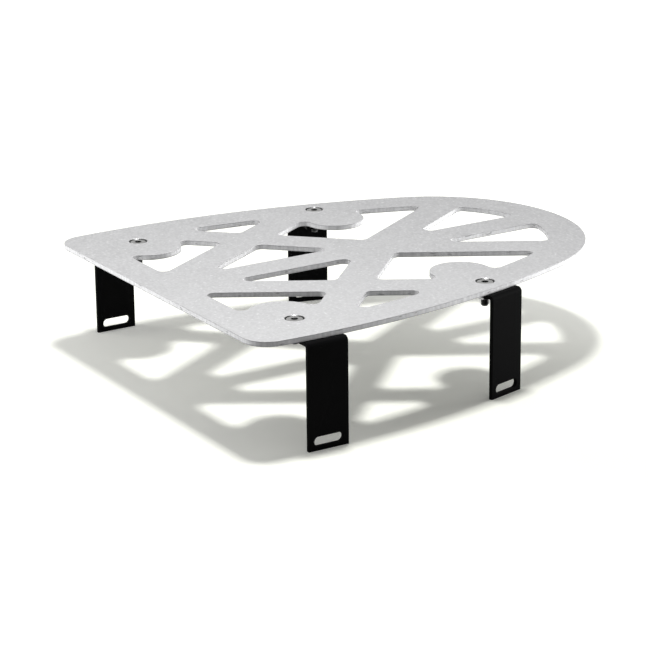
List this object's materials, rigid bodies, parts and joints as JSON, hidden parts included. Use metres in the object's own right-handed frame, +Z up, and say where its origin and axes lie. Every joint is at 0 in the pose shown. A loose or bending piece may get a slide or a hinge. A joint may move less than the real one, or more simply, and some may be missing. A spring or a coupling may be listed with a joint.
{
  "type": "motorcycle luggage rack",
  "caption": "Flat D-shaped luggage plate with triangular cut-outs, carried on folded slotted brackets and held by countersunk screws, for strapping loads behind a motorcycle seat.",
  "frame": {"origin": "under the middle of the plate, level with the brackets' feet", "axes": "+X back along the rack to its round tail, +Y to the motorcycle's right, +Z up through the plate"},
  "size_m": [0.3, 0.2626, 0.0682],
  "materials": {
    "plate": "bead-blasted, bare and matte",
    "bracket": "black satin powder coat",
    "fastener": "plain stainless"
  },
  "bodies": {
    "root": {"rack_plate": "plate", "front_left_bracket": "bracket", "front_left_screw": "fastener", "front_left_washer": "fastener", "front_left_nut": "fastener", "front_right_bracket": "bracket", "front_right_screw": "fastener", "front_right_washer": "fastener", "front_right_nut": "fastener", "rear_left_bracket": "bracket", "rear_left_screw": "fastener", "rear_left_washer": "fastener", "rear_left_nut": "fastener", "rear_right_bracket": "bracket", "rear_right_screw": "fastener", "rear_right_washer": "fastener", "rear_right_nut": "fastener"}
  },
  "joints": []
}
